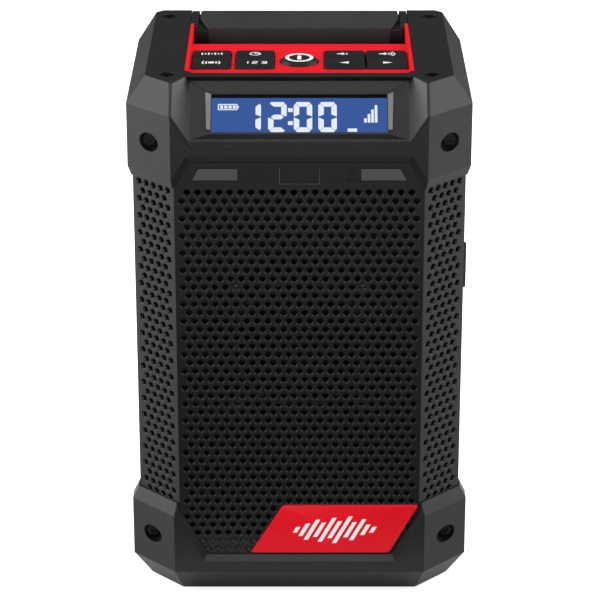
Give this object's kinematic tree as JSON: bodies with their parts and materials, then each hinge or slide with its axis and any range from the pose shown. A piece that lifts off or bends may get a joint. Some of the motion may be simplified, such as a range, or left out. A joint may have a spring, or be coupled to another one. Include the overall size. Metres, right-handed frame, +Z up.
{
  "type": "jobsite radio",
  "caption": "Compact jobsite radio: cornered guards, perforated front, sloped display, top keys, carry bar, rear battery bay and hinged side port door.",
  "frame": {"origin": "middle of the footprint on the ground, under the four rubber feet", "axes": "-Y to the front with grille and display, +X to the object's left-hand side as seen from behind, which is the viewer's right, +Z up"},
  "size_m": [0.159, 0.133, 0.2515],
  "materials": {
    "guard": "fine grained, low sheen",
    "foot_rubber": "matte",
    "screw_black": "black oxide",
    "screw_steel": "zinc plated",
    "housing": "fine grained",
    "grille": "fine grained",
    "lens": "smoked",
    "circuit_board": "solder mask",
    "accent_red": "satin",
    "inner_plastic": "moulded",
    "speaker_steel": "black lacquer",
    "ferrite": "ground",
    "pole_steel": "zinc plated",
    "cone_paper": "pressed pulp",
    "surround_rubber": "matte",
    "spider_cloth": "treated cloth",
    "terminal": "blades in a black block",
    "inlet_plastic": "moulded",
    "bezel": "fine grained",
    "window": "clear",
    "display_glass": "lit blue",
    "membrane_rubber": "silicone",
    "key_plastic": "fine grained",
    "power_key": "fine grained",
    "grip_rubber": "soft touch",
    "heat_sink": "extruded",
    "copper_coil": "enamelled wire",
    "port_metal": "plated",
    "door_rubber": "soft",
    "pin_steel": "plain"
  },
  "bodies": {
    "radio": {"antenna_coil": "copper_coil", "antenna_cradle": "inner_plastic", "aux_jack": "inlet_plastic", "badge_plate": "accent_red", "battery_bay": "inner_plastic", "bay_screws": "screw_black", "board_screws": "screw_steel", "charger_board": "circuit_board", "control_panel": "accent_red", "corner_screws": "screw_black", "dc_inlet": "inlet_plastic", "display_bezel": "bezel", "display_board": "circuit_board", "display_window": "window", "ferrite_rod": "ferrite", "front_grille": "grille", "handle_core": "housing", "handle_grip": "grip_rubber", "handle_well": "inner_plastic", "heat_sink": "heat_sink", "housing": "housing", "indicator_board": "circuit_board", "indicator_lens_left": "lens", "indicator_lens_right": "lens", "keypad_board": "circuit_board", "keypad_membrane": "membrane_rubber", "lcd_panel": "display_glass", "lower_guard": "guard", "main_board": "circuit_board", "port_pin": "pin_steel", "port_plate": "inner_plastic", "radiator_frame": "inner_plastic", "radiator_surround": "surround_rubber", "rail_screws": "screw_black", "rear_grille": "grille", "rubber_feet": "foot_rubber", "speaker_baffle": "inner_plastic", "speaker_frame": "speaker_steel", "speaker_magnet": "ferrite", "speaker_pole": "pole_steel", "speaker_screws": "screw_steel", "speaker_spider": "spider_cloth", "speaker_surround": "surround_rubber", "terminal_block": "terminal", "upper_frame": "guard", "usb_port": "port_metal"},
    "key_band_body": {"key_band": "key_plastic"},
    "key_link_body": {"key_link": "key_plastic"},
    "key_clock_body": {"key_clock": "key_plastic"},
    "key_preset_body": {"key_preset": "key_plastic"},
    "key_volume_down_body": {"key_volume_down": "key_plastic"},
    "key_volume_up_body": {"key_volume_up": "key_plastic"},
    "key_tune_down_body": {"key_tune_down": "key_plastic"},
    "key_tune_up_body": {"key_tune_up": "key_plastic"},
    "power_key_body": {"power_key": "power_key"},
    "door": {"port_door": "door_rubber"},
    "cone": {"speaker_cone": "cone_paper", "speaker_dust_cap": "cone_paper"},
    "radiator": {"radiator_disc": "cone_paper"}
  },
  "joints": [
    {"name": "key_band_press", "type": "slide", "parent": "radio", "child": "key_band_body", "axis": [0, 0, -1], "range_m": [0, 0.001], "stiffness_N_per_m": 800, "springref_m": -0.001},
    {"name": "key_link_press", "type": "slide", "parent": "radio", "child": "key_link_body", "axis": [0, 0, -1], "range_m": [0, 0.001], "stiffness_N_per_m": 800, "springref_m": -0.001},
    {"name": "key_clock_press", "type": "slide", "parent": "radio", "child": "key_clock_body", "axis": [0, 0, -1], "range_m": [0, 0.001], "stiffness_N_per_m": 800, "springref_m": -0.001},
    {"name": "key_preset_press", "type": "slide", "parent": "radio", "child": "key_preset_body", "axis": [0, 0, -1], "range_m": [0, 0.001], "stiffness_N_per_m": 800, "springref_m": -0.001},
    {"name": "key_volume_down_press", "type": "slide", "parent": "radio", "child": "key_volume_down_body", "axis": [0, 0, -1], "range_m": [0, 0.001], "stiffness_N_per_m": 800, "springref_m": -0.001},
    {"name": "key_volume_up_press", "type": "slide", "parent": "radio", "child": "key_volume_up_body", "axis": [0, 0, -1], "range_m": [0, 0.001], "stiffness_N_per_m": 800, "springref_m": -0.001},
    {"name": "key_tune_down_press", "type": "slide", "parent": "radio", "child": "key_tune_down_body", "axis": [0, 0, -1], "range_m": [0, 0.001], "stiffness_N_per_m": 800, "springref_m": -0.001},
    {"name": "key_tune_up_press", "type": "slide", "parent": "radio", "child": "key_tune_up_body", "axis": [0, 0, -1], "range_m": [0, 0.001], "stiffness_N_per_m": 800, "springref_m": -0.001},
    {"name": "power_key_press", "type": "slide", "parent": "radio", "child": "power_key_body", "axis": [0, 0, -1], "range_m": [0, 0.001], "stiffness_N_per_m": 800, "springref_m": -0.001},
    {"name": "port_door_hinge", "type": "hinge", "parent": "radio", "child": "door", "pos_m": [0.0775, -0.0149, 0.15], "axis": [0, 0, -1], "range_deg": [0, 110]},
    {"name": "cone_stroke", "type": "slide", "parent": "radio", "child": "cone", "axis": [0, -1, 0], "range_m": [-0.0015, 0.0015], "stiffness_N_per_m": 1500},
    {"name": "radiator_stroke", "type": "slide", "parent": "radio", "child": "radiator", "axis": [0, 1, 0], "range_m": [-0.0015, 0.0015], "stiffness_N_per_m": 900}
  ]
}
